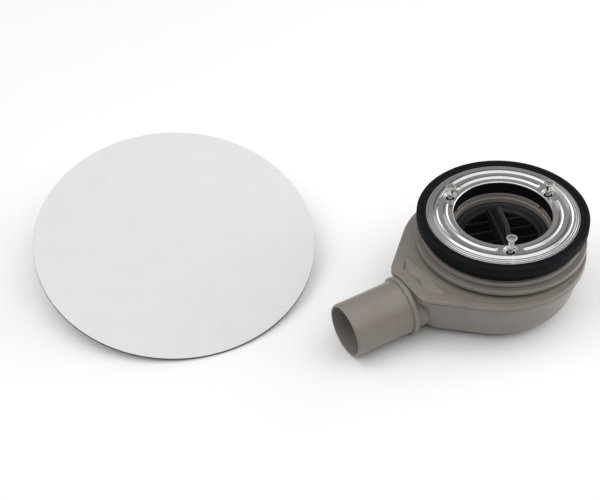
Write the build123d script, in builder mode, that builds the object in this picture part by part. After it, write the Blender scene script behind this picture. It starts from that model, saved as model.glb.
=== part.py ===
from build123d import *
import os
from math import cos, radians, sin, tan

os.makedirs("parts", exist_ok=True)

# Sizes are in millimetres. The trap stands on z 0, its axis is Z and its outlet points towards -X.

# Levels of the trap, from the floor up
floor_t = 2.5
seam_z = 37.0
plate_z = 42.0
plateau_z = 42.6
rim_z = 70.0

# Plan of the body: a round bowl set towards the outlet, and a straight front edge joined by tangents
body_x = -6.2
body_r = 66.9
front_x = -83.3
front_half = 19.5
front_strip = 1.0
front_corner_r = 9.0
edge_inset = 1.0
wall = 2.5
draft_inset = 9.0
bowl_fillet = 20.0

# Weir wall in the bowl and the dip tube that hangs inside it
weir_r = 40.0
weir_t = 2.2
weir_z = 36.0
weir_root = 1.0
seal_depth = 30.0
dip_r = 29.5
dip_bore = 27.5

# Outlet
outlet_z = 21.7
neck_r = 18.6
neck_bore = 16.6
neck_gap = 0.3
neck_in_x = -62.0
neck_top_x = -76.3
passage_in_x = -50.0
collar_x = -84.5
collar_w = 3.6
collar_r = 22.0
collar_edge = 0.7
spigot_rise = 0.8
spigot_fall = 2.7
spigot_turn = 2.3
spigot_len = 48.7
pipe_r = 20.0
pipe_bore = 18.2
pipe_chamfer = 1.5
bore_lead = 3.0

# Shoulder plate, its pocket and the round step on it
plate_t = 2.5
plate_round = 0.4
plateau_x = -4.5
plateau_r = 63.0
pocket_front_x = -75.0
pocket_rear_x = -66.7
pocket_front_half = 15.2
pocket_rear_half = 23.2
pocket_depth = 3.0
pocket_under_z = 37.2
roof_rise = 1.6

# Undercut neck, outer flange and clamping flange of the shell
shell_neck_r = 57.0
shell_neck_bore = 53.0
flange_r = 61.8
flange_low_z = 46.0
flange_top_z = 49.4
foot_groove_r = 56.4
foot_groove_h = 0.7
ring_wall_r = 57.8
ring_wall_z = 53.8
clamp_flange_r = 55.5
clamp_flange_z = 64.5
clamp_flange_t = 3.0

# Throat and insert seat
sleeve_seat_r = 37.0
throat_wall = 2.2
sleeve_foot_z = 59.2
band_upper_r = 35.4
band_step_z = 55.7
band_lower_r = 34.1
seat_z = 50.0
seat_bore = 31.0
throat_low_z = 47.0
notch_w = 3.2
notch_h = 2.6

# Clamping screws, their bosses and threaded inserts
screw_edge = 4.1
screw_d = 4.0
screw_head_d = 8.0
screw_len = 31.0
screw_tops = (79.5, 79.0, 81.5)
screw_turns = (25, 45, 65)
head_land = 0.4
tip_cone = 0.7
recess_l = 4.6
recess_w = 1.0
recess_depth = 1.7
recess_taper = 12.0
boss_r = 5.0
boss_low_z = 44.0
pilot_low_z = 46.0
brass_r = 2.9
brass_len = 8.0
fit_gap = 0.05
thread_gap = 0.15

# Rubber seal
lip_r = 61.7
lip_low_z = 63.2
lip_edge = 0.5
skirt_r = 57.0
skirt_low_z = 55.3
skirt_run = 0.7
sleeve_t = 1.3
sleeve_edge = 0.6
ring_clear = 0.6
seat_edge = 0.4
groove_in_r = 57.2
groove_w = 1.4
groove_depth = 0.7
groove_slope = 0.4
rubber_gap = 0.1
dish_clear = 0.8

# Pressed steel ring
ring_r = 55.0
ring_bore = 35.2
sheet = 1.2
bead_r = 48.2
bead_half = 2.3
bead_crest = 0.9
bead_h = 1.0
bead_root = 0.1
arc_bead_half = 2.2
arc_bead_from = 15.0
arc_bead_sweep = 90.0
land_w = 1.15
step_run = 0.3
step_h = 0.25
dish_r = 4.85
dish_depth = 2.0
dish_taper = 35.0
dish_hole_r = 2.7

# Insert with grip web
rim_r = 33.5
rim_crest_z = 53.0
rim_crest_r = 32.0
rim_inner_r = 29.0
rim_lip = 0.6
rim_drop = 1.4
insert_bore = 27.0
insert_neck_r = 30.5
tube_step = 1.0
oring_groove_r = 28.8
oring_groove_half = 1.1
oring_r = 1.0
oring_major_r = 29.85
oring_z = 48.5
web_angle = 70.0
web_t = 3.4
web_top_z = 67.0
web_top_half = 10.5
web_foot_half = 22.0
web_root = 1.0
bar_w = 7.5
bar_margin = 0.5
bar_shoulder = 0.4
bar_top_z = 56.0
bar_low_z = 45.0
rib_t = 0.8
rib_pitch = 11.0
rib_count = 4
rib_root = 0.8
rib_low_z = 47.0
rib_top_z = 49.2

# Cover plate, lying on its rim and on the tip of its clip
cover_r = 105.5
cover_t = 2.0
cover_edge = 0.25
cover_x = -191.1
cover_y = 148.4
cover_tilt = 13.92
cover_lean = 260.0
clip_flange_r = 22.0
clip_flange_t = 2.5
clip_r = 5.5
clip_slot = 4.0
clip_slot_depth = 18.0

# How far a cutting shape runs out past the face it cuts
over = 1.0

dip_z = weir_z - seal_depth
throat_r = sleeve_seat_r + throat_wall
sleeve_r = sleeve_seat_r - sleeve_t
screw_pcd_r = sleeve_seat_r + screw_edge
ring_seat_r = ring_r + ring_clear
fall = radians(spigot_fall)
turn = radians(spigot_turn)
spigot_root = (collar_x, 0, outlet_z + spigot_rise)
spigot_dir = (-cos(fall) * cos(turn), cos(fall) * sin(turn), -sin(fall))
spigot_side = (-sin(turn), -cos(turn), 0)
web_dir = (cos(radians(web_angle)), sin(radians(web_angle)), 0)
web_side = (sin(radians(web_angle)), -cos(radians(web_angle)), 0)


def body_outline(height, inset):
    """Plan of the body at a height, set in all round by an inset."""
    with BuildSketch(Plane.XY.offset(height)) as outline:
        with Locations((body_x, 0)):
            Circle(body_r)
        with Locations((front_x + front_strip / 2, 0)):
            Rectangle(front_strip, 2 * front_half)
        make_hull()
        if inset:
            offset(amount=-inset, kind=Kind.INTERSECTION, mode=Mode.REPLACE)
    return outline.sketch


def outlet_circle(x, radius):
    """Circle round the outlet's axis, in the cross plane at x."""
    with BuildSketch(Plane.YZ.offset(x)) as circle:
        with Locations((0, outlet_z)):
            Circle(radius)
    return circle.sketch


def bowl_form(low_z, inset, radius):
    """Drafted body from the seam down to low_z, with its foot and front corners rounded."""
    low_inset = inset + draft_inset * (1 - low_z / seam_z)
    with BuildPart() as form:
        loft([body_outline(seam_z, inset), body_outline(low_z, low_inset)], ruled=True)
        uprights = form.edges().filter_by(lambda e: abs(e.tangent_at(0).Z) > 0.5)
        foot = form.faces().sort_by(Axis.Z)[0].edges()
        fillet(uprights.sort_by(Axis.X)[:2] + foot, radius)
    return form.part


# Lower bowl: one moulding with its drafted wall, rounded foot, weir wall and outlet neck, which is
# made too long and then cut off along the root face of the spigot
neck_out_x = collar_x - 2 * over
with BuildPart() as lower_bowl:
    add(bowl_form(0, edge_inset, bowl_fillet))
    add(bowl_form(floor_t, edge_inset + wall, bowl_fillet - wall), mode=Mode.SUBTRACT)
    with BuildSketch(Plane.XY.offset(floor_t - weir_root)):
        Circle(weir_r)
        Circle(weir_r - weir_t, mode=Mode.SUBTRACT)
    extrude(amount=weir_z - floor_t + weir_root)
    extrude(outlet_circle(neck_out_x, neck_r), amount=neck_in_x - neck_out_x)
    with BuildSketch(Plane.XY.offset(seam_z)):
        with Locations(((neck_top_x + neck_in_x + over) / 2, 0)):
            Rectangle(neck_in_x + over - neck_top_x, 2 * (neck_r + over))
    extrude(amount=neck_r, mode=Mode.SUBTRACT)
    extrude(outlet_circle(neck_out_x, neck_bore), amount=neck_in_x + over - neck_out_x, mode=Mode.SUBTRACT)
    with BuildSketch(Plane(origin=spigot_root, z_dir=spigot_dir)):
        Circle(collar_r)
    extrude(amount=4 * over, mode=Mode.SUBTRACT)
lower_bowl.part.label = "lower_bowl"
export_step(lower_bowl.part, "parts/lower_bowl.step")

# Pocket in the shoulder plate: its floor rises from the front to the level of the round step
pocket_outline = (
    (pocket_front_x, pocket_front_half),
    (pocket_rear_x, pocket_rear_half),
    (pocket_rear_x, -pocket_rear_half),
    (pocket_front_x, -pocket_front_half),
)
with BuildPart() as pocket:
    with BuildSketch(Plane.XY.offset(plate_z - pocket_depth)):
        Polygon(*pocket_outline, align=None)
    extrude(amount=plateau_z - plate_z + pocket_depth + over)
    with BuildSketch(Plane.XZ.offset(-pocket_rear_half)):
        Polygon(
            (pocket_front_x, plate_z - pocket_depth),
            (pocket_rear_x, plateau_z),
            (pocket_rear_x, plateau_z + over),
            (pocket_front_x, plateau_z + over),
            align=None,
        )
    extrude(amount=2 * pocket_rear_half, mode=Mode.INTERSECT)

# Upper shell: shoulder plate, round step, undercut neck, flanges, throat and screw bosses
with BuildPart() as upper_shell:
    extrude(body_outline(seam_z, 0), amount=plate_z - seam_z)
    uprights = upper_shell.edges().filter_by(Axis.Z)
    fillet(uprights.sort_by(Axis.X)[:2], front_corner_r)
    fillet(upper_shell.faces().sort_by(Axis.Z)[-1].edges(), plate_round)
    with BuildSketch(Plane.XY.offset(seam_z + plate_t)):
        with Locations((plateau_x, 0)):
            Circle(plateau_r)
    extrude(amount=plateau_z - plate_t - seam_z)
    with BuildSketch(Plane.XZ):
        Polygon(
            (0, plate_z),
            (shell_neck_r, plate_z),
            (shell_neck_r, flange_low_z),
            (flange_r, flange_low_z),
            (flange_r, flange_top_z),
            (foot_groove_r, flange_top_z),
            (foot_groove_r, flange_top_z + foot_groove_h),
            (ring_wall_r, flange_top_z + foot_groove_h),
            (ring_wall_r, ring_wall_z),
            (clamp_flange_r, ring_wall_z),
            (clamp_flange_r, clamp_flange_z),
            (0, clamp_flange_z),
            align=None,
        )
    revolve(axis=Axis.Z)
    extrude(body_outline(seam_z, edge_inset + wall), amount=plate_z - plate_t - seam_z, mode=Mode.SUBTRACT)
    with BuildSketch(Plane.XZ):
        Polygon(
            (0, seam_z),
            (shell_neck_bore, seam_z),
            (shell_neck_bore, clamp_flange_z - clamp_flange_t),
            (throat_r, clamp_flange_z - clamp_flange_t),
            (throat_r, throat_low_z),
            (0, throat_low_z),
            align=None,
        )
    revolve(axis=Axis.Z, mode=Mode.SUBTRACT)
    with BuildSketch(Plane.XY.offset(boss_low_z)):
        with PolarLocations(screw_pcd_r, len(screw_tops)):
            Circle(boss_r)
    extrude(amount=clamp_flange_z - clamp_flange_t - boss_low_z)
    with BuildSketch(Plane.XZ):
        Polygon(
            (0, boss_low_z - over),
            (seat_bore, boss_low_z - over),
            (seat_bore, seat_z),
            (band_lower_r, seat_z),
            (band_lower_r, band_step_z),
            (band_upper_r, band_step_z),
            (band_upper_r, sleeve_foot_z),
            (sleeve_seat_r, sleeve_foot_z),
            (sleeve_seat_r, clamp_flange_z + over),
            (0, clamp_flange_z + over),
            align=None,
        )
    revolve(axis=Axis.Z, mode=Mode.SUBTRACT)
    with BuildSketch(Plane.XY.offset(clamp_flange_z)):
        with PolarLocations(screw_pcd_r, len(screw_tops)):
            Circle(brass_r + fit_gap)
    extrude(amount=-brass_len - 2 * fit_gap, mode=Mode.SUBTRACT)
    with BuildSketch(Plane.XY.offset(clamp_flange_z)):
        with PolarLocations(screw_pcd_r, len(screw_tops)):
            Circle(screw_d / 2 + 2 * thread_gap)
    extrude(amount=pilot_low_z - clamp_flange_z, mode=Mode.SUBTRACT)
    with BuildSketch(Plane.XY.offset(sleeve_foot_z)):
        with PolarLocations(band_upper_r, len(screw_tops)):
            Rectangle(2 * (sleeve_seat_r - band_upper_r), notch_w)
    extrude(amount=-notch_h, mode=Mode.SUBTRACT)
    with BuildSketch(Plane.XY.offset(pocket_under_z)):
        Polygon(*pocket_outline, align=None)
        offset(amount=wall, kind=Kind.INTERSECTION, mode=Mode.REPLACE)
    extrude(amount=plate_z - plate_t - pocket_under_z + 2 * fit_gap)
    add(pocket.part, mode=Mode.SUBTRACT)
    with BuildSketch(Plane.YZ.offset(pocket_front_x)):
        with Locations((0, outlet_z)):
            Circle(neck_r)
        with Locations((0, outlet_z + 2 * neck_r - roof_rise)):
            Rectangle(2 * neck_r, 2 * neck_r, mode=Mode.INTERSECT)
    extrude(amount=(pocket_rear_x - pocket_front_x) / 2)
    neck_notch = outlet_circle(front_x - over, neck_r + neck_gap)
    extrude(neck_notch, amount=neck_top_x + neck_gap - front_x + over, mode=Mode.SUBTRACT)
    passage = outlet_circle(neck_top_x, neck_bore + neck_gap)
    extrude(passage, amount=passage_in_x - neck_top_x, mode=Mode.SUBTRACT)
upper_shell.part.label = "upper_shell"
export_step(upper_shell.part, "parts/upper_shell.step")

# Outlet spigot: tube with a stop collar at its root and a chamfered free end, set to fall and turn a little
with BuildPart() as outlet_spigot:
    with BuildSketch(Plane(origin=spigot_root, x_dir=spigot_dir, z_dir=spigot_side)):
        Polygon(
            (0, neck_bore),
            (0, collar_r - collar_edge),
            (collar_edge, collar_r),
            (collar_w - collar_edge, collar_r),
            (collar_w, collar_r - collar_edge),
            (collar_w, pipe_r),
            (spigot_len - pipe_chamfer, pipe_r),
            (spigot_len, pipe_r - pipe_chamfer / 2),
            (spigot_len, pipe_bore),
            (collar_w + bore_lead, pipe_bore),
            (collar_w, neck_bore),
            align=None,
        )
    revolve(axis=Axis(spigot_root, spigot_dir))
outlet_spigot.part.label = "outlet_spigot"
export_step(outlet_spigot.part, "parts/outlet_spigot.step")

# Rubber seal: inner sleeve, flat web under the ring, outer lip and skirt
groove_out_r = groove_in_r + groove_w
with BuildPart() as tray_gasket:
    with BuildSketch(Plane.XZ):
        Polygon(
            (sleeve_r, sleeve_foot_z),
            (sleeve_seat_r - rubber_gap, sleeve_foot_z),
            (sleeve_seat_r - rubber_gap, clamp_flange_z),
            (clamp_flange_r + rubber_gap, clamp_flange_z),
            (clamp_flange_r + rubber_gap, skirt_low_z),
            (skirt_r, skirt_low_z),
            (skirt_r, lip_low_z - skirt_run),
            (lip_r - lip_edge, lip_low_z),
            (lip_r, lip_low_z + lip_edge),
            (lip_r, rim_z - lip_edge),
            (lip_r - lip_edge, rim_z),
            (groove_out_r, rim_z),
            (groove_out_r - groove_slope, rim_z - groove_depth),
            (groove_in_r + groove_slope, rim_z - groove_depth),
            (groove_in_r, rim_z),
            (ring_seat_r + seat_edge, rim_z),
            (ring_seat_r, rim_z - seat_edge),
            (ring_seat_r, rim_z - sheet),
            (sleeve_r + sleeve_edge, rim_z - sheet),
            (sleeve_r, rim_z - sheet - sleeve_edge),
            align=None,
        )
    revolve(axis=Axis.Z)
    with BuildSketch(Plane.XY.offset(rim_z)):
        with PolarLocations(screw_pcd_r, len(screw_tops)):
            Circle(dish_r + sheet / 2 + dish_clear)
    extrude(amount=-sheet - dish_depth, mode=Mode.SUBTRACT)
    with BuildSketch(Plane.XY.offset(rim_z)):
        with PolarLocations(screw_pcd_r, len(screw_tops)):
            Circle(screw_d / 2 + dish_clear)
    extrude(amount=clamp_flange_z - rim_z, mode=Mode.SUBTRACT)
tray_gasket.part.label = "tray_gasket"
export_step(tray_gasket.part, "parts/tray_gasket.step")


def bead_form(half, low_z, crest_z):
    """Solid form of one arc bead: a flat crest between two flanks on the screw circle, with round ends."""
    crest = half - bead_half + bead_crest
    with BuildPart() as form:
        with BuildSketch(Plane.XZ.rotated((0, 0, arc_bead_from))):
            with Locations((screw_pcd_r, 0)):
                Polygon((-half, low_z), (-crest, crest_z), (crest, crest_z), (half, low_z), align=None)
        revolve(axis=Axis.Z, revolution_arc=arc_bead_sweep)
        for end in (arc_bead_from, arc_bead_from + arc_bead_sweep):
            spot = (screw_pcd_r * cos(radians(end)), screw_pcd_r * sin(radians(end)), 0)
            with BuildSketch(Plane(origin=spot, x_dir=(1, 0, 0), z_dir=(0, -1, 0))):
                Polygon((0, low_z), (half, low_z), (crest, crest_z), (0, crest_z), align=None)
            revolve(axis=Axis(spot, (0, 0, 1)))
    return form.part


# Clamping ring: pressed sheet with a full bead, three arc beads and three dished screw holes
arc_bead = bead_form(arc_bead_half, rim_z - bead_root, rim_z + bead_h)
arc_groove = bead_form(arc_bead_half - sheet / 2, rim_z - sheet - bead_root, rim_z - sheet + bead_h)
bead_out_r = bead_r + bead_half
groove_half = bead_half - sheet / 2
groove_crest = bead_crest - sheet / 2
with BuildPart() as clamp_ring:
    with BuildSketch(Plane.XZ):
        Polygon(
            (ring_bore, rim_z - sheet),
            (ring_bore, rim_z),
            (bead_r - bead_half, rim_z),
            (bead_r - bead_crest, rim_z + bead_h),
            (bead_r + bead_crest, rim_z + bead_h),
            (bead_out_r, rim_z),
            (bead_out_r + land_w, rim_z),
            (bead_out_r + land_w + step_run, rim_z - step_h),
            (bead_out_r + 2 * land_w + step_run, rim_z - step_h),
            (bead_out_r + 2 * land_w + 2 * step_run, rim_z - 2 * step_h),
            (ring_r, rim_z - 2 * step_h),
            (ring_r, rim_z - sheet),
            (bead_r + groove_half, rim_z - sheet),
            (bead_r + groove_crest, rim_z - sheet + bead_h),
            (bead_r - groove_crest, rim_z - sheet + bead_h),
            (bead_r - groove_half, rim_z - sheet),
            align=None,
        )
    revolve(axis=Axis.Z)
    with PolarLocations(0, len(screw_tops)):
        add(arc_bead)
    with PolarLocations(0, len(screw_tops)):
        add(arc_groove, mode=Mode.SUBTRACT)
    with BuildSketch(Plane.XY.offset(rim_z - sheet)):
        with PolarLocations(screw_pcd_r, len(screw_tops)):
            Circle(dish_r + sheet / 2)
    extrude(amount=sheet / 2 - dish_depth, taper=dish_taper)
    with BuildSketch(Plane.XY.offset(rim_z)):
        with PolarLocations(screw_pcd_r, len(screw_tops)):
            Circle(dish_r)
    extrude(amount=-dish_depth, taper=dish_taper, mode=Mode.SUBTRACT)
    with BuildSketch(Plane.XY.offset(rim_z)):
        with PolarLocations(screw_pcd_r, len(screw_tops)):
            Circle(dish_hole_r)
    extrude(amount=-dish_depth - sheet - over, mode=Mode.SUBTRACT)
clamp_ring.part.label = "clamp_ring"
export_step(clamp_ring.part, "parts/clamp_ring.step")

# Clamping screws: countersunk heads with a cross recess, each turned in by its own amount
with BuildPart() as one_screw:
    with BuildSketch(Plane.XZ):
        Polygon(
            (0, 0),
            (screw_head_d / 2, 0),
            (screw_head_d / 2, -head_land),
            (screw_d / 2, -head_land - (screw_head_d - screw_d) / 2),
            (screw_d / 2, tip_cone - screw_len),
            (screw_d / 2 - tip_cone, -screw_len),
            (0, -screw_len),
            align=None,
        )
    revolve(axis=Axis.Z)
    with BuildSketch(Plane.XY):
        Rectangle(recess_l, recess_w)
        Rectangle(recess_w, recess_l)
    extrude(amount=-recess_depth, taper=recess_taper, mode=Mode.SUBTRACT)
with BuildPart() as clamp_screws:
    for index, top in enumerate(screw_tops):
        place = radians(360 / len(screw_tops) * index)
        with Locations((screw_pcd_r * cos(place), screw_pcd_r * sin(place), top)):
            add(one_screw.part, rotation=(0, 0, screw_turns[index]))
clamp_screws.part.label = "clamp_screws"
export_step(clamp_screws.part, "parts/clamp_screws.step")

# Threaded brass inserts, set flush in the bosses
with BuildPart() as screw_inserts:
    with BuildSketch(Plane.XY.offset(clamp_flange_z)):
        with PolarLocations(screw_pcd_r, len(screw_tops)):
            Circle(brass_r)
            Circle(screw_d / 2 + thread_gap, mode=Mode.SUBTRACT)
    extrude(amount=-brass_len)
screw_inserts.part.label = "screw_inserts"
export_step(screw_inserts.part, "parts/screw_inserts.step")

# Trap insert: rounded rim, dip tube, ribs, cross bar and grip web in one moulding
with BuildPart() as trap_insert:
    with BuildSketch(Plane.XZ):
        with BuildLine():
            Polyline(
                (rim_inner_r, seat_z + rim_lip),
                (insert_bore, seat_z - rim_drop),
                (insert_bore, bar_low_z),
                (dip_bore, bar_low_z - tube_step),
                (dip_bore, dip_z),
                (dip_r, dip_z),
                (dip_r, bar_low_z - tube_step),
                (insert_neck_r, bar_low_z),
                (insert_neck_r, oring_z - oring_groove_half),
                (oring_groove_r, oring_z - oring_groove_half),
                (oring_groove_r, oring_z + oring_groove_half),
                (insert_neck_r, oring_z + oring_groove_half),
                (insert_neck_r, seat_z),
                (rim_r, seat_z),
                (rim_r, rim_crest_z - tube_step),
            )
            ThreePointArc(
                (rim_r, rim_crest_z - tube_step),
                (rim_crest_r, rim_crest_z),
                (rim_inner_r, seat_z + rim_lip),
            )
        make_face()
    revolve(axis=Axis.Z)
    with BuildSketch(Plane(origin=(0, 0, rib_low_z), x_dir=web_dir)):
        with GridLocations(rib_pitch, rib_pitch, rib_count, 1):
            Rectangle(rib_t, 2 * rim_r)
        Circle(insert_bore + rib_root, mode=Mode.INTERSECT)
    extrude(amount=rib_top_z - rib_low_z)
    with BuildSketch(Plane(origin=(0, 0, 0), x_dir=web_dir, z_dir=web_side)):
        Polygon(
            (-insert_bore - rib_root, bar_low_z),
            (insert_bore + rib_root, bar_low_z),
            (insert_bore + rib_root, seat_z - bar_shoulder),
            (web_foot_half + bar_margin, bar_top_z),
            (-web_foot_half - bar_margin, bar_top_z),
            (-insert_bore - rib_root, seat_z - bar_shoulder),
            align=None,
        )
    extrude(amount=bar_w / 2, both=True)
    with BuildSketch(Plane(origin=(0, 0, 0), x_dir=web_dir, z_dir=web_side)):
        Polygon(
            (-web_foot_half, bar_top_z - web_root),
            (web_foot_half, bar_top_z - web_root),
            (web_foot_half, bar_top_z),
            (web_top_half, web_top_z),
            (-web_top_half, web_top_z),
            (-web_foot_half, bar_top_z),
            align=None,
        )
    extrude(amount=web_t / 2, both=True)
trap_insert.part.label = "trap_insert"
export_step(trap_insert.part, "parts/trap_insert.step")

# O-ring between the insert and its seat
with BuildPart() as insert_seal:
    with BuildSketch(Plane.XZ):
        with Locations((oring_major_r, oring_z)):
            Circle(oring_r)
    revolve(axis=Axis.Z)
insert_seal.part.label = "insert_seal"
export_step(insert_seal.part, "parts/insert_seal.step")

# Cover plate, on the plane of its upper face
lean = radians(cover_lean)
tilt = radians(cover_tilt)
cover_normal = (sin(tilt) * cos(lean), sin(tilt) * sin(lean), cos(tilt))
cover_uphill = (-cos(tilt) * cos(lean), -cos(tilt) * sin(lean), sin(tilt))
cover_top = cover_t * cos(tilt) + cover_r * sin(tilt)
cover_plane = Plane(origin=(cover_x, cover_y, cover_top), x_dir=cover_uphill, z_dir=cover_normal)
with BuildPart() as cover_plate:
    with BuildSketch(cover_plane):
        Circle(cover_r)
    extrude(amount=-cover_t)
    chamfer(cover_plate.edges(), cover_edge)
cover_plate.part.label = "cover_plate"
export_step(cover_plate.part, "parts/cover_plate.step")

# Clip bonded under the cover plate: a round flange and a forked stem that goes over the grip web
clip_drop = (cover_r - clip_r) * tan(tilt)
with BuildPart() as cover_clip:
    with BuildSketch(cover_plane.offset(-cover_t)):
        Circle(clip_flange_r)
    extrude(amount=-clip_flange_t)
    with BuildSketch(cover_plane.offset(-cover_t)):
        Circle(clip_r)
    extrude(amount=-clip_drop)
    with BuildSketch(cover_plane.offset(-cover_t - clip_drop)):
        Rectangle(clip_slot, 4 * clip_r)
    extrude(amount=clip_slot_depth, mode=Mode.SUBTRACT)
cover_clip.part.label = "cover_clip"
export_step(cover_clip.part, "parts/cover_clip.step")
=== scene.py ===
import math

import bmesh
import bpy
import numpy as np
from mathutils import Matrix, Vector


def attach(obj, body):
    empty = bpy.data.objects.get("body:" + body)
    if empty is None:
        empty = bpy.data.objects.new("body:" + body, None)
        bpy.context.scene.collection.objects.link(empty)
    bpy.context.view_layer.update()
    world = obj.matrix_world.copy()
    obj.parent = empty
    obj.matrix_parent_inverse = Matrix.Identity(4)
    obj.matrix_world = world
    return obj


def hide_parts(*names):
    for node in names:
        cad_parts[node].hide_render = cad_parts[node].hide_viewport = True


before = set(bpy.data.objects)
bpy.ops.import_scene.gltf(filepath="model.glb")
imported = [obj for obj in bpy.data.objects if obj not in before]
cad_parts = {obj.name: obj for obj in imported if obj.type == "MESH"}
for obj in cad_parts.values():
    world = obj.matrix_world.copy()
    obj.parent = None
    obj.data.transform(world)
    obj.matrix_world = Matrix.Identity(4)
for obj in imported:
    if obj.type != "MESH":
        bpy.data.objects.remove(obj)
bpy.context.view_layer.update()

# Lower bowl: the tub that holds the water seal, moulded in grey-brown polypropylene. Its walls
# taper for the mould and turn into the flat foot on a large radius. A round weir wall stands
# inside, and the outlet neck is moulded on at the front. All pieces' sizes are millimetres.
MM = 0.001
seam_z = 37.0
body_x = -6.2
body_r = 66.9
front_x = -83.3
front_half = 19.5
bowl_inset = 1.0
bowl_wall = 2.5
bowl_floor = 2.5
bowl_foot_r = 20.0
draft_inset = 9.0
draft = math.atan2(draft_inset, seam_z)
side_angle = math.atan2(front_half, front_x - body_x)
side_angle -= math.acos(body_r / math.hypot(front_x - body_x, front_half))
side_reach = body_x * math.cos(side_angle) + body_r
weir_r = 40.0
weir_t = 2.2
weir_z = 36.0
weir_root = 1.5
outlet_z = 21.7
neck_r = 18.6
neck_bore = 16.6
neck_root = 62.0
neck_top = 76.3
neck_over = 88.0
seam_clear = 0.05
cut_over = 1.0
past_tangent = 1e-6
OUTLET = np.array([[0, 1, 0], [0, 0, 1], [-1, 0, 0]])
outlet_spot = np.array([0, 0, outlet_z])
spigot_root = np.array([-84.5, 0, 22.5])
spigot_fall = math.radians(2.7)
spigot_turn = math.radians(2.3)
spigot_along = np.array([-math.cos(spigot_turn), math.sin(spigot_turn), -math.tan(spigot_fall)])
spigot_along *= math.cos(spigot_fall)


def facing_angles(bowl_steps, corner_steps):
    """Directions that the body's wall faces, once round: the bowl, then one front corner and the other."""
    bowl = np.linspace(-side_angle, side_angle, bowl_steps)
    corner = np.linspace(side_angle + past_tangent, np.pi, corner_steps)
    return np.concatenate([bowl, corner, -corner[::-1]])[:, None]


def body_plan(facing, inset, corner_r, tuck=0.0):
    """Plan points of the body's wall: the tight band round one large disc and two front corner discs.

    A point lies on the disc that reaches furthest the way the wall faces. An inset draws the walls
    in and keeps the corner radius; a tuck is taken off the radius of all three discs.
    """
    turn = np.abs(facing)
    corner_x = front_x + inset + corner_r
    corner_y = (side_reach - inset - corner_r - corner_x * math.cos(side_angle)) / math.sin(side_angle)
    at_corner = turn > side_angle
    radius = np.where(at_corner, corner_r, body_r - inset) - tuck
    x = np.where(at_corner, corner_x, body_x) + radius * np.cos(turn)
    y = np.where(at_corner, corner_y, 0.0) + radius * np.sin(turn)
    return x, np.where(facing < 0, -y, y)


def drafted_wall(facing, low_z, top_inset, foot_r, steps):
    """Grid of a bowl wall from the seam down: a straight tapered run, then a foot of constant radius.

    The foot turns from the wall's slope to the level floor about a centre one radius above it.
    """
    swing = np.linspace(draft, np.pi / 2, steps)
    foot_z = low_z + foot_r * (1 - np.sin(swing))
    height = np.concatenate([[seam_z], foot_z])
    inset = top_inset + draft_inset * (1 - np.maximum(height, foot_z[0]) / seam_z)
    tuck = np.concatenate([[0], foot_r * (math.cos(draft) - np.cos(swing))])
    x, y = body_plan(facing, inset, foot_r, tuck)
    return np.stack([x, y, np.broadcast_to(height, x.shape)], axis=-1)


def spot_row(grid, spot):
    """One grid row with all its points at a spot, which closes a surface as a pole."""
    return np.broadcast_to(np.asarray(spot, float), (len(grid), 1, 3))


def turned(profile, axes=np.eye(3), origin=(0, 0, 0), segments=192):
    """Grid of a profile of (radius, height) points carried once round the third of three axes."""
    angle = np.linspace(0, 2 * np.pi, segments, endpoint=False)[:, None]
    radius, height = np.asarray(profile, float).T
    height = np.broadcast_to(height, (segments, len(height)))
    local = np.stack([radius * np.cos(angle), radius * np.sin(angle), height], axis=-1)
    return local @ axes + np.asarray(origin, float)


def skin(name, grid, loop=True):
    """Mesh piece of a grid of points, closed round its first index and, for a loop, round its second.

    Points that coincide are merged, so poles and seams close, and the faces are turned outwards.
    """
    rows, columns = grid.shape[:2]
    i, j = np.meshgrid(np.arange(rows), np.arange(columns - (not loop)), indexing="ij")
    ahead = (i + 1) % rows
    beside = (j + 1) % columns
    corners = [i * columns + j, ahead * columns + j, ahead * columns + beside, i * columns + beside]
    quads = np.stack(corners, axis=-1).reshape(-1, 4)
    mesh = bpy.data.meshes.new(name)
    mesh.from_pydata((grid.reshape(-1, 3) * MM).tolist(), [], quads.tolist())
    form = bmesh.new()
    form.from_mesh(mesh)
    bmesh.ops.remove_doubles(form, verts=form.verts, dist=1e-7)
    bmesh.ops.recalc_face_normals(form, faces=form.faces)
    form.to_mesh(mesh)
    form.free()
    piece = bpy.data.objects.new(name, mesh)
    bpy.context.scene.collection.objects.link(piece)
    return piece


def merge(piece, tool, operation):
    """Adds a tool's volume to a piece (UNION) or cuts it away (DIFFERENCE), and removes the tool."""
    step = piece.modifiers.new(operation, "BOOLEAN")
    step.operation = operation
    step.solver = "MANIFOLD"
    step.object = tool
    bpy.context.view_layer.update()
    seen = piece.evaluated_get(bpy.context.evaluated_depsgraph_get())
    result = bpy.data.meshes.new_from_object(seen)
    piece.modifiers.clear()
    piece.data = result
    bpy.data.objects.remove(tool)


def smooth(piece, crease=40.0):
    """Shades a piece smooth, with edges sharper than the crease angle, in degrees, left crisp."""
    piece.data.shade_smooth()
    piece.data.set_sharp_from_angle(angle=math.radians(crease))


inside_inset = bowl_inset + bowl_wall
wall_facing = facing_angles(bowl_steps=168, corner_steps=24)
bowl_outside = drafted_wall(wall_facing, 0.0, bowl_inset, bowl_foot_r, steps=18)
bowl_inside = drafted_wall(wall_facing, bowl_floor, inside_inset, bowl_foot_r - bowl_wall, steps=10)
bowl_rows = [
    spot_row(wall_facing, (body_x, 0, 0)),
    bowl_outside[:, ::-1],
    bowl_inside,
    spot_row(wall_facing, (body_x, 0, bowl_floor)),
]
bowl = skin("bowl", np.concatenate(bowl_rows, axis=1), loop=False)

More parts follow.
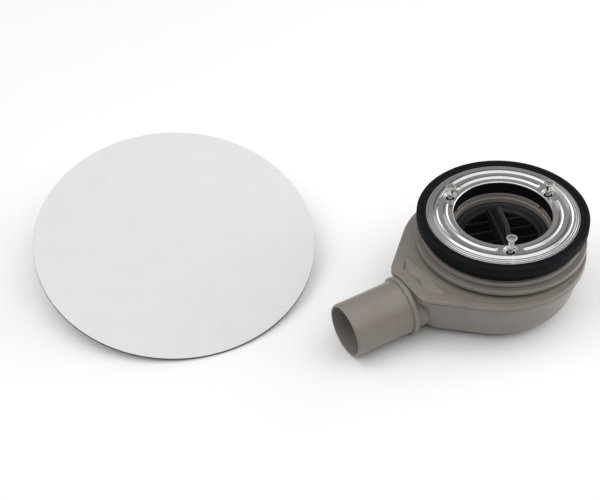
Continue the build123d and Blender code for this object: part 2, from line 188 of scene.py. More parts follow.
# The neck's rear stays under the seam, and its front is cut off along the spigot's slanted root face.
neck_profile = [(0, neck_root), (neck_r, neck_root), (neck_r, neck_top)]
neck_profile += [(neck_r, neck_top), (neck_r, neck_over), (0, neck_over)]
neck_grid = turned(neck_profile, OUTLET, outlet_spot, segments=96)
neck_grid[:, :3, 2] = np.minimum(neck_grid[:, :3, 2], seam_z - seam_clear)
neck_lean = (neck_grid[:, 4:] - spigot_root)[..., 1:] @ spigot_along[1:]
neck_grid[:, 4:, 0] = spigot_root[0] - neck_lean / spigot_along[0]
merge(bowl, skin("neck", neck_grid, loop=False), "UNION")
weir_profile = [(weir_r - weir_t, weir_root), (weir_r, weir_root)]
weir_profile += [(weir_r, weir_z), (weir_r - weir_t, weir_z)]
merge(bowl, skin("weir", turned(weir_profile)), "UNION")
bore_start = neck_root - 2 * cut_over
bore_profile = [(0, bore_start), (neck_bore, bore_start), (neck_bore, neck_over), (0, neck_over)]
bore_grid = turned(bore_profile, OUTLET, outlet_spot, segments=96)
merge(bowl, skin("bore", bore_grid, loop=False), "DIFFERENCE")
smooth(bowl)

noise_low = 0.3
noise_high = 0.7
grain_detail = 2.0
grains_a_patch = 6


def noise(tree, scale, detail=3.0):
    """Noise on the object's own coordinates, with about as many blotches a metre as the scale."""
    place = tree.nodes.new("ShaderNodeTexCoord")
    texture = tree.nodes.new("ShaderNodeTexNoise")
    texture.inputs["Scale"].default_value = scale
    texture.inputs["Detail"].default_value = detail
    tree.links.new(place.outputs["Object"], texture.inputs["Vector"])
    return texture.outputs["Fac"]


def tinted(tree, pattern, dark, light):
    """Colours a pattern from dark to light over the middle of its range."""
    ramp = tree.nodes.new("ShaderNodeValToRGB")
    ramp.color_ramp.elements[0].position = noise_low
    ramp.color_ramp.elements[1].position = noise_high
    ramp.color_ramp.elements[0].color = (*dark, 1)
    ramp.color_ramp.elements[1].color = (*light, 1)
    tree.links.new(pattern, ramp.inputs["Fac"])
    return ramp.outputs["Color"]


def ranged(tree, pattern, low, high):
    """Spreads the middle of a pattern's range over low to high."""
    span = tree.nodes.new("ShaderNodeMapRange")
    span.inputs["From Min"].default_value = noise_low
    span.inputs["From Max"].default_value = noise_high
    span.inputs["To Min"].default_value = low
    span.inputs["To Max"].default_value = high
    tree.links.new(pattern, span.inputs["Value"])
    return span.outputs["Result"]


def grained(tree, pattern, depth):
    """Surface relief from a pattern, its depth in millimetres."""
    bump = tree.nodes.new("ShaderNodeBump")
    bump.inputs["Distance"].default_value = depth * MM
    tree.links.new(pattern, bump.inputs["Height"])
    return bump.outputs["Normal"]


def finish(name, dark, light, rough, blotch, grain, depth, gloss=0.5, metallic=0.0):
    """Material with a mottled colour, a roughness that varies and a fine surface grain.

    blotch and grain are patterns a metre; rough is the range of roughness, which varies in patches
    a few grains wide; depth is in millimetres.
    """
    material = bpy.data.materials.new(name)
    material.use_nodes = True
    tree = material.node_tree
    shader = tree.nodes["Principled BSDF"]
    shader.inputs["Specular IOR Level"].default_value = gloss
    shader.inputs["Metallic"].default_value = metallic
    tree.links.new(tinted(tree, noise(tree, blotch), dark, light), shader.inputs["Base Color"])
    tree.links.new(ranged(tree, noise(tree, grain / grains_a_patch), *rough), shader.inputs["Roughness"])
    tree.links.new(grained(tree, noise(tree, grain, grain_detail), depth), shader.inputs["Normal"])
    return material


def coat(piece, material):
    """Gives a piece one material all over."""
    piece.data.materials.clear()
    piece.data.materials.append(material)


body_plastic = finish(
    "body_plastic",
    dark=(0.205, 0.181, 0.162),
    light=(0.226, 0.200, 0.180),
    rough=(0.28, 0.33),
    blotch=90,
    grain=2600,
    depth=0.004,
    gloss=0.36,
)
coat(bowl, body_plastic)
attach(bowl, "root")
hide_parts("lower_bowl")

# Outlet spigot: the plain tube that takes the drain pipe's socket, welded on the neck. A stop
# collar rings its root and the free end is chamfered outside. Same plastic as the bowl.
collar_w = 3.6
collar_r = 22.0
pipe_r = 20.0
pipe_bore = 18.2
pipe_len = 48.7
pipe_chamfer = 1.5
bore_lead = 3.0
spigot_side = np.array([-math.sin(spigot_turn), -math.cos(spigot_turn), 0])
SPIGOT = np.array([spigot_side, np.cross(spigot_side, spigot_along), spigot_along])


def rounded(corners, closed=True, steps=6):
    """Outline of (across, up, radius) corners, each turned by an arc of its radius.

    The arc's centre lies on the corner's bisector, and its points are spaced evenly round it
    between the places where it touches the two sides. An open outline leaves out its end corners.
    """
    corners = np.asarray(corners, float)
    spot = corners[:, None, :2]
    radius = corners[:, None, 2:]
    back = np.roll(spot, 1, axis=0) - spot
    on = np.roll(spot, -1, axis=0) - spot
    back = back / np.linalg.norm(back, axis=-1, keepdims=True)
    on = on / np.linalg.norm(on, axis=-1, keepdims=True)
    half = np.arccos((back * on).sum(-1, keepdims=True)) / 2
    middle = (back + on) / np.linalg.norm(back + on, axis=-1, keepdims=True)
    centre = spot + middle * radius / np.sin(half)
    first = spot + back * radius / np.tan(half) - centre
    last = spot + on * radius / np.tan(half) - centre
    swing = np.pi - 2 * half
    share = np.linspace(0, 1, steps)[:, None]
    arc = (np.sin((1 - share) * swing) * first + np.sin(share * swing) * last) / np.sin(swing)
    return (centre + arc if closed else (centre + arc)[1:-1]).reshape(-1, 2)


spigot_profile = rounded(
    [
        (neck_bore, 0, 0),
        (collar_r, 0, 0.8),
        (collar_r, collar_w, 0.8),
        (pipe_r, collar_w, 0.35),
        (pipe_r, pipe_len - pipe_chamfer, 0.8),
        (pipe_r - pipe_chamfer / 2, pipe_len, 0.2),
        (pipe_bore, pipe_len, 0.3),
        (pipe_bore, collar_w + bore_lead, 1),
        (neck_bore, collar_w, 1),
    ]
)
spigot = skin("spigot", turned(spigot_profile, SPIGOT, spigot_root))
smooth(spigot)
coat(spigot, body_plastic)
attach(spigot, "root")
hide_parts("outlet_spigot")

# Upper shell: the lid, moulded in the bowl's plastic and welded on it along the rim. Its flat plate has a
# sunk pocket with a small dome over the outlet, and the pocket's floor rises to a low round step. Above
# come an undercut neck, a wide flange, the flange that the ring clamps on and the stepped throat.
plate_z = 42.0
plate_t = 2.5
plate_corner_r = 9.0
weld_low = 38.8
weld_top = 39.2
weld_depth = 0.3
slot_depth = 0.9
slot_low = 38.7
slot_top = 39.35
weld_slots = ((2.0, 2.4), (7.6, 2.0), (13.9, 1.75))
plateau_x = -4.5
plateau_r = 63.0
plateau_z = 42.6
pocket_front = -75.0
pocket_rear = -66.7
pocket_depth = 3.0
pocket_half = 15.2
pocket_rear_half = 23.2
block_z = 37.2
block_rim = 2.5
roof_rise = 1.6
dome_half = np.array([3.8, 5.8, 2.2])
dome_z = 39.4
passage_gap = 0.3
shell_neck_r = 57.0
shell_bore = 53.0
flange_r = 61.8
flange_low = 46.0
flange_top = 49.4
groove_r = 56.4
groove_top = 50.1
step_r = 57.8
step_top = 53.8
clamp_r = 55.5
clamp_z = 64.5
clamp_low = 61.5
sleeve_seat_r = 37.0
sleeve_foot = 59.2
band_r = 35.4
band_step = 55.7
low_band_r = 34.1
insert_seat = 50.0
throat_bore = 31.0
throat_low = 47.0
throat_r = 39.2
screw_circle = 41.1
screw_count = 3
boss_r = 5.0
boss_low = 44.0
boss_bore = 2.95
pilot_low = 46.0
notch_w = 3.2
notch_h = 2.6
join_sink = 0.5
block_over = 0.1
wedge_lift = 0.002


def capped(*outlines):
    """Grid of closed outlines of one point count joined in turn, with a cap over both ends."""
    rows = [np.asarray(outline, float) for outline in outlines]
    ends = [np.broadcast_to(row.mean(0), row.shape) for row in (rows[0], rows[-1])]
    return np.stack([ends[0], *rows, ends[1]], axis=1)


plate_facing = facing_angles(bowl_steps=240, corner_steps=40)
plate_edge = rounded(
    [
        (shell_bore, seam_z + plate_t, 0),
        (inside_inset, seam_z + plate_t, 0.5),
        (inside_inset, seam_z, 0.2),
        (0, seam_z, 0.3),
        (0, weld_low, 0.15),
        (weld_depth, weld_low, 0.05),
        (weld_depth, weld_top, 0.05),
        (0, weld_top, 0.05),
        (0, plate_z, 0.7),
        (shell_bore, plate_z, 0),
    ],
    closed=False,
)
edge_x, edge_y = body_plan(plate_facing, 0.0, plate_corner_r, plate_edge[:, 0])
edge_grid = np.stack([edge_x, edge_y, np.broadcast_to(plate_edge[:, 1], edge_x.shape)], axis=-1)
inner_rim = np.concatenate([np.cos(plate_facing), np.sin(plate_facing)], axis=1) * shell_bore
inner_low = np.insert(inner_rim, 2, seam_z + plate_t, axis=1)[:, None]
inner_high = np.insert(inner_rim, 2, plate_z, axis=1)[:, None]
shell = skin("shell", np.concatenate([inner_low, edge_grid, inner_high], axis=1))


def pocket_outline(grow, front_z, rear_z):
    """Outline of the pocket, grown by a margin, with its front and rear edges at two heights."""
    front = pocket_front - grow
    rear = pocket_rear + grow
    return np.array(
        [
            (front, -pocket_half - grow, front_z),
            (rear, -pocket_rear_half - grow, rear_z),
            (rear, pocket_rear_half + grow, rear_z),
            (front, pocket_half + grow, front_z),
        ]
    )


slot_start = np.concatenate(body_plan(np.array([side_angle + past_tangent]), 0.0, plate_corner_r))
square = [(-1, -1), (1, -1), (1, 1), (-1, 1)]
for mirror in (-1, 1):
    along = np.array([math.sin(side_angle), -math.cos(side_angle) * mirror])
    outward = np.array([math.cos(side_angle), math.sin(side_angle) * mirror])
    for middle, half in weld_slots:
        centre = slot_start * (1, mirror) + along * middle
        plan = np.array([centre + along * half * a + outward * slot_depth * b for a, b in square])
        slot = [np.insert(plan, 2, height, axis=1) for height in (slot_low, slot_top)]
        merge(shell, skin("slot", capped(*slot), loop=False), "DIFFERENCE")

block_top = seam_z + plate_t + block_over
block = [pocket_outline(block_rim, block_z, block_z), pocket_outline(block_rim, block_top, block_top)]
merge(shell, skin("block", capped(*block), loop=False), "UNION")

plateau_profile = rounded(
    [
        (shell_bore, seam_z + plate_t, 0),
        (plateau_r, seam_z + plate_t, 0),
        (plateau_r, plateau_z, 0.3),
        (shell_bore, plateau_z, 0),
    ]
)
merge(shell, skin("plateau", turned(plateau_profile, origin=(plateau_x, 0, 0), segments=240)), "UNION")

pocket_floor = pocket_outline(0, plate_z - pocket_depth, plateau_z)
pocket_open = plateau_z + cut_over
pocket_top = pocket_outline(0, pocket_open, pocket_open)
merge(shell, skin("pocket", capped(pocket_floor, pocket_top), loop=False), "DIFFERENCE")

roof_swing = math.acos(1 - roof_rise / neck_r)
roof_turn = np.linspace(-roof_swing, roof_swing, 25)
roof_arc = np.stack([0 * roof_turn, neck_r * np.sin(roof_turn), neck_r * np.cos(roof_turn)], axis=1)
roof_arc += outlet_spot + (pocket_front - join_sink, 0, 0)
roof_end = roof_arc + (join_sink + (pocket_rear - pocket_front) / 2, 0, 0)
merge(shell, skin("roof", capped(roof_arc, roof_end), loop=False), "UNION")
dome_swing = np.linspace(0, np.pi, 17)
dome_profile = np.stack([np.sin(dome_swing), np.cos(dome_swing)], axis=1)
dome_grid = turned(dome_profile, segments=48) * dome_half + (pocket_front, 0, dome_z)
merge(shell, skin("dome", dome_grid, loop=False), "UNION")
wedge_share = pocket_depth / (plateau_z - plate_z + pocket_depth) + wedge_lift
wedge_top = pocket_floor.copy()
wedge_top[[0, 3]] += (pocket_floor[[1, 2]] - pocket_floor[[0, 3]]) * wedge_share
wedge_low = wedge_top * (1, 1, 0) + (0, 0, plate_z - join_sink)
merge(shell, skin("wedge", capped(wedge_low, wedge_top), loop=False), "UNION")

hub_profile = rounded(
    [
        (shell_bore, seam_z + plate_t, 0),
        (shell_neck_r, seam_z + plate_t, 0),
        (shell_neck_r, flange_low, 0.5),
        (flange_r, flange_low, 0.5),
        (flange_r, flange_top, 0.8),
        (groove_r, flange_top, 0.1),
        (groove_r, groove_top, 0.1),
        (step_r, groove_top, 0.2),
        (step_r, step_top, 0.8),
        (clamp_r, step_top, 0.2),
        (clamp_r, clamp_z, 0.3),
        (sleeve_seat_r, clamp_z, 0.3),
        (sleeve_seat_r, sleeve_foot, 0.1),
        (band_r, sleeve_foot, 0.5),
        (band_r, band_step, 0.3),
        (low_band_r, band_step, 0.5),
        (low_band_r, insert_seat, 0.2),
        (throat_bore, insert_seat, 0.3),
        (throat_bore, throat_low, 0.3),
        (throat_r, throat_low, 0.3),
        (throat_r, clamp_low, 0.5),
        (shell_bore, clamp_low, 0.5),
    ]
)
merge(shell, skin("hub", turned(hub_profile, segments=240)), "UNION")
passage_bore = neck_bore + passage_gap
passage_r = neck_r + passage_gap
passage = [(0, neck_root), (passage_bore, neck_root), (passage_bore, neck_top)]
passage += [(passage_r, neck_top - passage_gap), (passage_r, neck_over), (0, neck_over)]
passage_grid = turned(passage, OUTLET, outlet_spot, segments=96)
merge(shell, skin("passage", passage_grid, loop=False), "DIFFERENCE")

screw_angles = np.arange(screw_count) * 2 * np.pi / screw_count
screw_spots = np.stack([np.cos(screw_angles), np.sin(screw_angles), 0 * screw_angles], axis=1)
boss_top = clamp_low + join_sink
boss = [(0, boss_low), (boss_r, boss_low), (boss_r, boss_top), (0, boss_top)]
pilot_top = clamp_z + cut_over
pilot = [(0, pilot_low), (boss_bore, pilot_low), (boss_bore, pilot_top), (0, pilot_top)]
for spot in screw_spots:
    centre = spot * screw_circle
    merge(shell, skin("boss", turned(boss, origin=centre, segments=48), loop=False), "UNION")
    merge(shell, skin("hole", turned(pilot, origin=centre, segments=48), loop=False), "DIFFERENCE")
    side = np.array([-spot[1], spot[0], 0]) * notch_w / 2
    inner = spot * (low_band_r - cut_over)
    outer = spot * sleeve_seat_r
    notch_low = np.array([inner - side, outer - side, outer + side, inner + side])
    notch_low += (0, 0, sleeve_foot - notch_h)
    notch_top = notch_low + (0, 0, notch_h + cut_over)
    merge(shell, skin("notch", capped(notch_low, notch_top), loop=False), "DIFFERENCE")
smooth(shell)
coat(shell, body_plastic)
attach(shell, "root")
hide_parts("upper_shell")

# Trap insert: the black dip tube that lifts out for cleaning, moulded in one piece with a rounded
# rim, thin ribs across the inlet, a cross bar and the web that fingers grip.
insert_bore = 27.0
mouth_low = 48.6
plug_r = 30.5
plug_low = 45.0
dip_bore = 27.5
dip_r = 29.5
dip_top = 44.0
dip_low = 6.0
oring_seat_r = 28.8
oring_low = 47.4
oring_top = 49.6
rim_r = 33.5
rim_top = 53.2
rim_crest_r = 30.6
rim_foot_r = 28.6
rim_foot = 50.2
insert_rim = rounded(
    [
        (insert_bore, plug_low, 0.4),
        (dip_bore, dip_top, 0.4),
        (dip_bore, dip_low, 0.4),
        (dip_r, dip_low, 0.4),
        (dip_r, dip_top, 0.4),
        (plug_r, plug_low, 0.4),
        (plug_r, oring_low, 0.1),
        (oring_seat_r, oring_low, 0.1),
        (oring_seat_r, oring_top, 0.1),
        (plug_r, oring_top, 0.1),
        (plug_r, insert_seat, 0.1),
        (rim_r, insert_seat, 0.3),
        (rim_r, rim_top, 1.5),
        (rim_crest_r, rim_top, 1.6),
        (rim_foot_r, rim_foot, 0.8),
        (insert_bore, mouth_low, 0.6),
    ]
)
web_angle = math.radians(70.0)
web_along = np.array([math.cos(web_angle), math.sin(web_angle), 0])
web_across = np.array([-math.sin(web_angle), math.cos(web_angle), 0])
web_t = 3.4
bar_w = 7.5
root_r = 27.8
rib_t = 0.6
rib_edge = 0.2
rib_corner = 0.1
rib_low = 47.0
rib_top = 49.2
rib_places = (-16.5, -5.5, 5.5, 16.5)
# Levels of the bar and the web from the foot up: half length, sides drawn in, corner radius, height.
bar_levels = [(root_r, 0, 0.5, 45.0), (root_r, 0, 0.5, 49.6), (22.8, 0, 0.5, 55.7), (22.4, 0.3, 0.4, 56.0)]
web_levels = [(22.0, 0, 0.6, 55.0), (22.0, 0, 0.6, 56.0), (11.1, 0, 0.6, 66.4)]
web_levels += [(10.7, 0.2, 0.5, 66.8), (10.2, 0.6, 0.4, 67.0)]


def upright(half_along, half_across, corner_r, height, shift=0.0):
    """Level outline in the web's directions: a rectangle of two half sizes with round corners."""
    flat = rounded([(half_along * a, half_across * b, corner_r) for a, b in square])
    return np.outer(flat[:, 0] + shift, web_along) + np.outer(flat[:, 1], web_across) + (0, 0, height)


insert = skin("insert", turned(insert_rim))
for place in rib_places:
    rib_half = math.sqrt(root_r**2 - place**2)
    rib_rows = [upright(rib_t / 2, rib_half, rib_corner, rib_low, place)]
    rib_rows.append(upright(rib_t / 2, rib_half, rib_corner, rib_top - rib_edge, place))
    rib_rows.append(upright(rib_t / 2 - rib_edge, rib_half, rib_corner, rib_top, place))
    merge(insert, skin("rib", capped(*rib_rows), loop=False), "UNION")
bar_rows = [upright(half, bar_w / 2 - drawn, corner, height) for half, drawn, corner, height in bar_levels]
merge(insert, skin("bar", capped(*bar_rows), loop=False), "UNION")
web_rows = [upright(half, web_t / 2 - drawn, corner, height) for half, drawn, corner, height in web_levels]
merge(insert, skin("web", capped(*web_rows), loop=False), "UNION")
smooth(insert)
insert_plastic = finish(
    "insert_plastic",
    dark=(0.013, 0.014, 0.015),
    light=(0.016, 0.017, 0.019),
    rough=(0.36, 0.46),
    blotch=120,
    grain=3000,
    depth=0.01,
    gloss=0.2,
)
coat(insert, insert_plastic)
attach(insert, "root")
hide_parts("trap_insert")

# Tray seal: the black rubber moulding that the tray is clamped on. A sleeve goes down into the
# throat, a flat web lies under the ring, and outside it has a broad lip and a skirt over the shell.
rim_z = 70.0
sheet = 1.2
lip_r = 61.7
lip_low = 63.2
skirt_r = 57.0
skirt_low = 55.3
skirt_root = 62.5
rubber_gap = 0.1
sleeve_r = 35.7
ring_seat_r = 55.6
sleeve_flare = 0.5
sleeve_flare_h = 0.6
groove_radii = (57.2, 57.6, 58.2, 58.6)
groove_depth = 0.7
seal_hole_r = 2.8
seal_hole_low = 64.0
recess_r = 6.25
recess_low = 66.8
recess_top = 71.0
seal_profile = rounded(
    [
        (sleeve_r, sleeve_foot, 0.3),
        (sleeve_seat_r - rubber_gap, sleeve_foot, 0.2),
        (sleeve_seat_r - rubber_gap, clamp_z, 0.1),
        (clamp_r + rubber_gap, clamp_z, 0.1),
        (clamp_r + rubber_gap, skirt_low, 0.1),
        (skirt_r, skirt_low, 0.3),
        (skirt_r, skirt_root, 1.2),
        (lip_r, lip_low, 0.6),
        (lip_r, rim_z, 0.7),
        (groove_radii[3], rim_z, 0.2),
        (groove_radii[2], rim_z - groove_depth, 0.2),
        (groove_radii[1], rim_z - groove_depth, 0.2),
        (groove_radii[0], rim_z, 0.2),
        (ring_seat_r, rim_z, 0.3),
        (ring_seat_r, rim_z - sheet, 0.1),
        (sleeve_r + sleeve_flare, rim_z - sheet, 0.2),
        (sleeve_r, rim_z - sheet - sleeve_flare_h, 0.3),
    ]
)
seal = skin("seal", turned(seal_profile, segments=240))
recess = [(0, seal_hole_low), (seal_hole_r, seal_hole_low), (seal_hole_r, recess_low)]
recess += [(recess_r, recess_low), (recess_r, recess_top), (0, recess_top)]
for spot in screw_spots:
    recess_grid = turned(recess, origin=spot * screw_circle, segments=64)
    merge(seal, skin("recess", recess_grid, loop=False), "DIFFERENCE")
smooth(seal)
seal_rubber = finish(
    "seal_rubber",
    dark=(0.005, 0.006, 0.007),
    light=(0.007, 0.008, 0.010),
    rough=(0.55, 0.65),
    blotch=150,
    grain=2200,
    depth=0.008,
    gloss=0.06,
)
coat(seal, seal_rubber)
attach(seal, "root")
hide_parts("tray_gasket")

# O-ring: the small round rubber ring in the insert's groove, which seals it in the throat. It is out
# of sight when the insert is in place, so the solid itself is shown, in the seal's black rubber.
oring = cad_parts["insert_seal"]
coat(oring, seal_rubber)

# Clamping ring: stainless sheet pressed with one full bead, three arc beads with round ends, two
# fine steps near its edge and three dished screw holes. It presses the tray on the seal.
ring_r = 55.0
ring_bore = 35.2
bead_r = 48.2
bead_half = 2.5
bead_h = 1.0
arc_half = 2.2
arc_reach = math.radians(45.0)
dish_r = 4.9
dish_wall = 1.6
dish_depth = 2.0
dish_hole = 3.2
step_h = 0.25
step_run = 0.3
step_radii = (51.65, 53.1)
roll_drop = 0.5
roll_run = 0.9
edge_round = 0.15
bead_margin = 0.3
step_margin = 0.2
step_pitch = 0.1
ring_segments = 600
bead_row_count = 76
low_row_count = 30
hole_low = 60.0
hole_top = 75.0


def hump(distance, half):
    """Smooth swell: one at no distance, falling as a squared cosine to nothing at the half width."""
    return np.cos(np.pi / 2 * np.minimum(distance / half, 1)) ** 2


def ease(share):
    """Smooth rise from zero to one: three squares less two cubes."""
    share = np.clip(share, 0, 1)
    return share * share * (3 - 2 * share)


def pressed_height(radius, angle):
    """Height of the ring's upper face: beads are swells about their centre lines, dishes go down.

    Angles are folded into one third of the ring, as the pattern repeats at each screw. Near the
    outer edge the face drops by two steps, and at the bore it rolls down.
    """
    third = 2 * np.pi / screw_count
    fold = np.mod(angle, third)
    past = np.maximum(np.abs(fold - third / 2) - arc_reach, 0)
    to_arc = np.sqrt(radius**2 + screw_circle**2 - 2 * radius * screw_circle * np.cos(past))
    near = np.minimum(fold, third - fold)
    to_screw = np.sqrt(radius**2 + screw_circle**2 - 2 * radius * screw_circle * np.cos(near))
    height = rim_z + bead_h * hump(np.abs(radius - bead_r), bead_half)
    height = height + bead_h * hump(to_arc, arc_half)
    height = height - dish_depth * ease((dish_r - to_screw) / dish_wall)
    for step_radius in step_radii:
        height = height - step_h * np.clip((radius - step_radius) / step_run, 0, 1)
    return height - roll_drop * ease((ring_bore + roll_run - radius) / roll_run) ** 2


ring_angle = np.linspace(0, 2 * np.pi, ring_segments, endpoint=False)[:, None]
bead_rows = np.linspace(ring_bore + edge_round, step_radii[0] - bead_margin, bead_row_count)
step_rows = np.arange(step_radii[0] - step_margin, ring_r - step_margin, step_pitch)
top_radius = np.concatenate([[ring_bore], bead_rows, step_rows, [ring_r - edge_round, ring_r]])
low_radius = np.linspace(ring_r, ring_bore, low_row_count)
ring_radius = np.concatenate([top_radius, low_radius])
ring_height = pressed_height(ring_radius, ring_angle)
ring_height[:, 0] -= edge_round
ring_height[:, len(top_radius) - 1] -= edge_round
ring_height[:, len(top_radius):] -= sheet
ring_x = ring_radius * np.cos(ring_angle)
ring_y = ring_radius * np.sin(ring_angle)
ring = skin("ring", np.stack([ring_x, ring_y, ring_height], axis=-1))
ring_hole = [(0, hole_low), (dish_hole, hole_low), (dish_hole, hole_top), (0, hole_top)]
for spot in screw_spots:
    hole_grid = turned(ring_hole, origin=spot * screw_circle, segments=64)
    merge(ring, skin("hole", hole_grid, loop=False), "DIFFERENCE")
smooth(ring, crease=50.0)
ring_steel = finish(
    "ring_steel",
    dark=(0.49, 0.485, 0.48),
    light=(0.52, 0.515, 0.51),
    rough=(0.18, 0.22),
    blotch=120,
    grain=2500,
    depth=0.0002,
    metallic=1.0,
)
coat(ring, ring_steel)
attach(ring, "root")
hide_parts("clamp_ring")

# Clamping screws: three stainless countersunk screws with a cross recess. They are only started in
# their threads, so the heads stand well above the ring, each at its own height.
screw_r = 2.0
shank_r = 2.25
head_r = 3.8
head_edge = 0.5
head_h = 2.2
screw_len = 31.0
screw_tops = (79.5, 79.0, 81.5)
screw_turns = (25.0, 45.0, 65.0)
thread_pitch = 0.7
thread_depth = 0.4
thread_start = 15.0
rows_a_turn = 10
point_drop = 0.6
point_len = 0.8
cross_reach = 2.3
cross_half = 0.5
cross_depth = 1.7
cross_taper = 0.7
cross_over = 0.2
screw_steel = finish(
    "screw_steel",
    dark=(0.62, 0.61, 0.59),
    light=(0.68, 0.67, 0.65),
    rough=(0.20, 0.26),
    blotch=300,
    grain=4000,
    depth=0.0002,
    metallic=1.0,
)


def screw_grid(segments=40):
    """Grid of a screw, head up at height zero: a lathe profile whose lower part is cut by a helix.

    The thread takes a triangle wave off the radius, its phase going round once for each pitch. It
    deepens over its first pitch, and the tip tapers.
    """
    head = rounded(
        [
            (0, 0, 0),
            (head_r, 0, 0.25),
            (head_r, -head_edge, 0.2),
            (shank_r, -head_h, 0.4),
            (shank_r, -thread_start, 0),
        ],
        closed=False,
    )
    turns = (screw_len - thread_start) / thread_pitch
    height = np.linspace(-thread_start, -screw_len, int(turns * rows_a_turn))
    angle = np.linspace(0, 2 * np.pi, segments, endpoint=False)[:, None]
    wave = np.abs(np.mod(height / thread_pitch + angle / (2 * np.pi), 1) * 2 - 1)
    run_in = ease((-thread_start - height) / thread_pitch)
    point = point_drop * ease(1 - (height + screw_len) / point_len)
    radius = np.minimum(screw_r - thread_depth * wave * run_in, screw_r - point)
    thread = np.stack([radius * np.cos(angle), radius * np.sin(angle), height + 0 * angle], axis=-1)
    top = spot_row(thread, (0, 0, 0))
    tip = spot_row(thread, (0, 0, -screw_len))
    return np.concatenate([top, turned(head, segments=segments), thread, tip], axis=1)


cross = [(cross_reach, cross_half), (cross_half, cross_half), (cross_half, cross_reach)]
cross += [(-x, y) for x, y in cross[::-1]]
cross += [(-x, -y) for x, y in cross]
cross_top = np.insert(np.array(cross), 2, cross_over, axis=1)
cross_low = np.insert(np.array(cross) * cross_taper, 2, -cross_depth, axis=1)
for index, spot in enumerate(screw_spots):
    turn = math.radians(screw_turns[index])
    spin = np.array([[math.cos(turn), math.sin(turn), 0], [-math.sin(turn), math.cos(turn), 0], [0, 0, 1]])
    place = spot * screw_circle + (0, 0, screw_tops[index])
    screw = skin(f"screw_{index + 1}", screw_grid() @ spin + place, loop=False)
    merge(screw, skin("recess", capped(cross_low, cross_top) @ spin + place, loop=False), "DIFFERENCE")
    smooth(screw, crease=35.0)
    coat(screw, screw_steel)
    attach(screw, "root")
    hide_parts("clamp_screws")

# Screw inserts: three threaded brass bushes sunk in the shell's bosses, which take the screws. They
# are out of sight under the seal, so the solids themselves are shown, in turned brass.
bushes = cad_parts["screw_inserts"]
insert_brass = finish(
    "insert_brass",
    dark=(0.68, 0.49, 0.19),
    light=(0.76, 0.55, 0.21),
    rough=(0.25, 0.35),
    blotch=300,
    grain=3000,
    depth=0.001,
    metallic=1.0,
)
coat(bushes, insert_brass)

# Cover plate: the round sheet that hides the drain, here taken off. It lies beside the trap, leaning
# on its rim and on the tip of its clip. Its face has a fine pale matt coat; its bare edge is painted near
# black, as painted shade.
cover_r = 105.5
cover_t = 2.0
# Near-black colour of the rim band: painted shade on the bare edge.
edge_shade_colour = (0.06, 0.06, 0.062)
edge_shade_band = 0.1
cover_spot = np.array([-191.1, 148.4, 0.0])
cover_tilt = math.radians(13.92)
cover_lean = math.radians(260.0)
cover_up = np.array([math.cos(cover_lean), math.sin(cover_lean), 0]) * math.sin(cover_tilt)
cover_up[2] = math.cos(cover_tilt)
cover_side = np.array([-math.sin(cover_lean), math.cos(cover_lean), 0])
COVER = np.array([np.cross(cover_side, cover_up), cover_side, cover_up])
cover_spot[2] = cover_t * math.cos(cover_tilt) + cover_r * math.sin(cover_tilt)
cover_profile = rounded([(0, -cover_t, 0), (cover_r, -cover_t, 0.3), (cover_r, 0, 0.3), (0, 0, 0)])
cover = skin("cover", turned(cover_profile, COVER, cover_spot, segments=360), loop=False)
smooth(cover)
cover_face = finish(
    "cover_face",
    dark=(0.635, 0.635, 0.635),
    light=(0.655, 0.655, 0.655),
    rough=(0.42, 0.52),
    blotch=60,
    grain=3500,
    depth=0.01,
)


def edged(material, spot, reach, colour):
    """Gives a material another colour wherever the distance from a spot is more than the reach.

    The spot and the reach are in millimetres. The material's own colour stays inside the reach.
    """
    tree = material.node_tree
    base = tree.nodes["Principled BSDF"].inputs["Base Color"]
    place = tree.nodes.new("ShaderNodeTexCoord")
    distance = tree.nodes.new("ShaderNodeVectorMath")
    distance.operation = "DISTANCE"
    distance.inputs[1].default_value = spot * MM
    beyond = tree.nodes.new("ShaderNodeMath")
    beyond.operation = "GREATER_THAN"
    beyond.inputs[1].default_value = reach * MM
    mix = tree.nodes.new("ShaderNodeMix")
    mix.data_type = "RGBA"
    mix.inputs["B"].default_value = (*colour, 1)
    tree.links.new(place.outputs["Object"], distance.inputs[0])
    tree.links.new(distance.outputs["Value"], beyond.inputs[0])
    tree.links.new(beyond.outputs["Value"], mix.inputs["Factor"])
    tree.links.new(base.links[0].from_socket, mix.inputs["A"])
    tree.links.new(mix.outputs["Result"], base)


# The band round the rim is painted near black: painted shade standing in for the shade on the bare edge.
edged(cover_face, cover_spot, cover_r - edge_shade_band, edge_shade_colour)
coat(cover, cover_face)
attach(cover, "root")
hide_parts("cover_plate")

# Cover clip: the black plastic fork bonded under the plate, which pushes over the insert's grip web
# and centres the plate. The plate hides it here, so the solid itself is shown.
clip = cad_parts["cover_clip"]
clip_plastic = finish(
    "clip_plastic",
    dark=(0.030, 0.030, 0.032),
    light=(0.042, 0.042, 0.044),
    rough=(0.40, 0.50),
    blotch=120,
    grain=2600,
    depth=0.02,
)
coat(clip, clip_plastic)

# Studio: a plain white floor under one large soft light. Weaker soft lights in front, on the left, at
# the back and on the right draw the stripes on the steel and lift the shaded walls. Places are metres.
floor_half = 20.0
floor_colour = (0.85, 0.85, 0.85, 1)
floor_rough = 0.9
fill_colour = (1, 1, 1, 1)
fill_strength = 0.15
floor_mesh = bpy.data.meshes.new("floor")
floor_corners = [(-floor_half, -floor_half, 0), (floor_half, -floor_half, 0)]
floor_corners += [(floor_half, floor_half, 0), (-floor_half, floor_half, 0)]
floor_mesh.from_pydata(floor_corners, [], [(0, 1, 2, 3)])
floor = bpy.data.objects.new("floor", floor_mesh)
bpy.context.scene.collection.objects.link(floor)
floor_paint = bpy.data.materials.new("floor_paint")
floor_paint.use_nodes = True
floor_shader = floor_paint.node_tree.nodes["Principled BSDF"]
floor_shader.inputs["Base Color"].default_value = floor_colour
floor_shader.inputs["Roughness"].default_value = floor_rough
floor_mesh.materials.append(floor_paint)

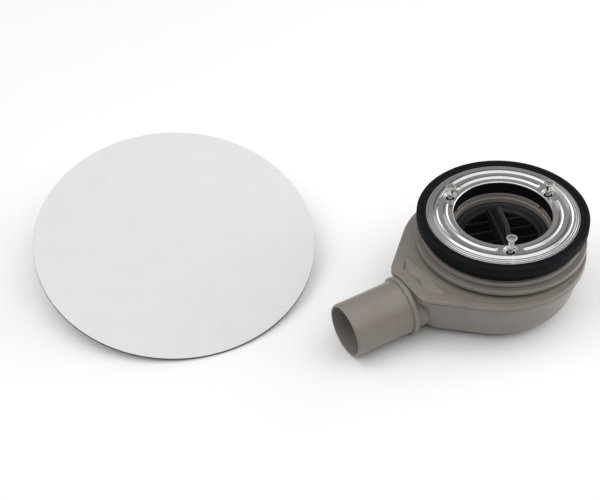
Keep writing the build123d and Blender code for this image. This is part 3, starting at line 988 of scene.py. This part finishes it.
world = bpy.data.worlds.new("studio")
world.use_nodes = True
fill = world.node_tree.nodes["Background"]
fill.inputs["Color"].default_value = fill_colour
fill.inputs["Strength"].default_value = fill_strength
bpy.context.scene.world = world


def softbox(name, place, aim, width, height, power):
    """Rectangular soft light at a place in metres, turned to face the aim."""
    lamp = bpy.data.lights.new(name, "AREA")
    lamp.shape = "RECTANGLE"
    lamp.size = width
    lamp.size_y = height
    lamp.energy = power
    box = bpy.data.objects.new(name, lamp)
    box.location = place
    box.rotation_euler = (Vector(aim) - Vector(place)).to_track_quat("-Z", "Y").to_euler()
    bpy.context.scene.collection.objects.link(box)


softbox("overhead", (-0.25, -0.3, 1.6), (-0.2, -0.15, 0), 3.2, 2.4, 35.0)
softbox("front_high", (-0.35, -1.1, 1.2), (0, 0, 0.03), 0.5, 0.4, 1.2)
softbox("left_high", (-0.95, 0.85, 1.2), (0, 0, 0.05), 2.8, 1.8, 11.0)
softbox("back_panel", (0.75, 1.31, 1.36), (0, 0, 0.05), 2.2, 1.2, 2.2)
softbox("right_strip", (1.18, 0.57, 0.63), (0, 0, 0.03), 0.4, 0.5, 0.3)
softbox("right_low", (1.4, 0.0, 0.35), (0, 0, 0.03), 2.2, 0.6, 10.0)
softbox("right_side", (1.4, -0.6, 0.65), (0, 0, 0.03), 1.6, 1.2, 10.0)
bpy.context.scene.view_settings.view_transform = "Standard"

# Camera: stands where the photograph was taken from, above and in front of the outlet's side, with a
# long lens and a small roll. Its place is in metres and its angles are degrees.
camera_place = (-0.51044, -0.59463, 0.71032)
camera_heading = -29.91
camera_pitch = 49.0
camera_roll = -1.94
camera_data = bpy.data.cameras.new("camera")
camera_data.lens = 84.0
camera_data.sensor_width = 36.0
camera = bpy.data.objects.new("camera", camera_data)
heading = Matrix.Rotation(math.radians(camera_heading), 4, "Z")
pitch = Matrix.Rotation(math.radians(camera_pitch), 4, "X")
roll = Matrix.Rotation(math.radians(camera_roll), 4, "Z")
camera.matrix_world = Matrix.Translation(camera_place) @ heading @ pitch @ roll
bpy.context.scene.collection.objects.link(camera)
bpy.context.scene.camera = camera

bpy.context.view_layer.update()
